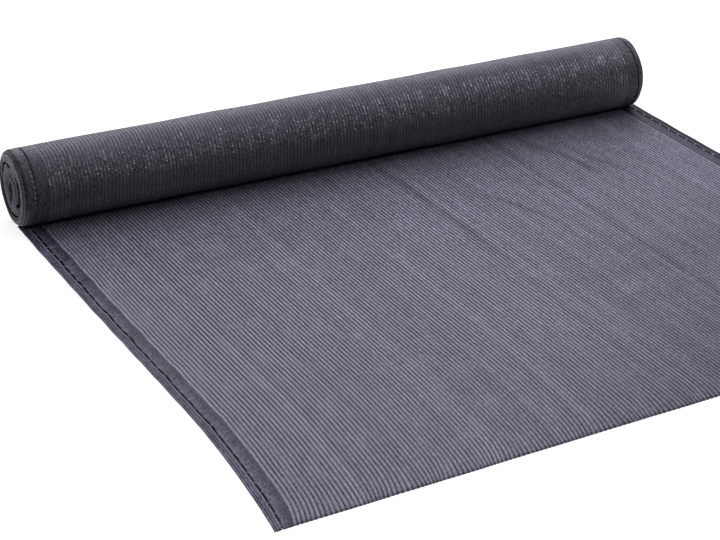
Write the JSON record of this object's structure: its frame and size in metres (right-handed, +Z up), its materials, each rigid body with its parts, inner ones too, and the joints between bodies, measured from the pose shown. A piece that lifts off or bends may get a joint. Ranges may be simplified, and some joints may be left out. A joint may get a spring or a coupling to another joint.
{
  "type": "partly unrolled shade net",
  "caption": "Partly unrolled roll of dark grey knitted shade net, ribbed lengthwise, with buttonhole selvedges and its loose end laid flat.",
  "frame": {"origin": "bottom centre of the whole net's bounding box, on the surface that it lies on", "axes": "+X along the roll, +Y from the laid end toward the roll, +Z up"},
  "size_m": [1.0184, 0.9186, 0.1063],
  "materials": {
    "knitted_net": "knitted plastic tape, dull with small glints, ribbed lengthwise"
  },
  "bodies": {
    "root": {"wound_roll": "knitted_net", "laid_sheet": "knitted_net"}
  },
  "joints": []
}
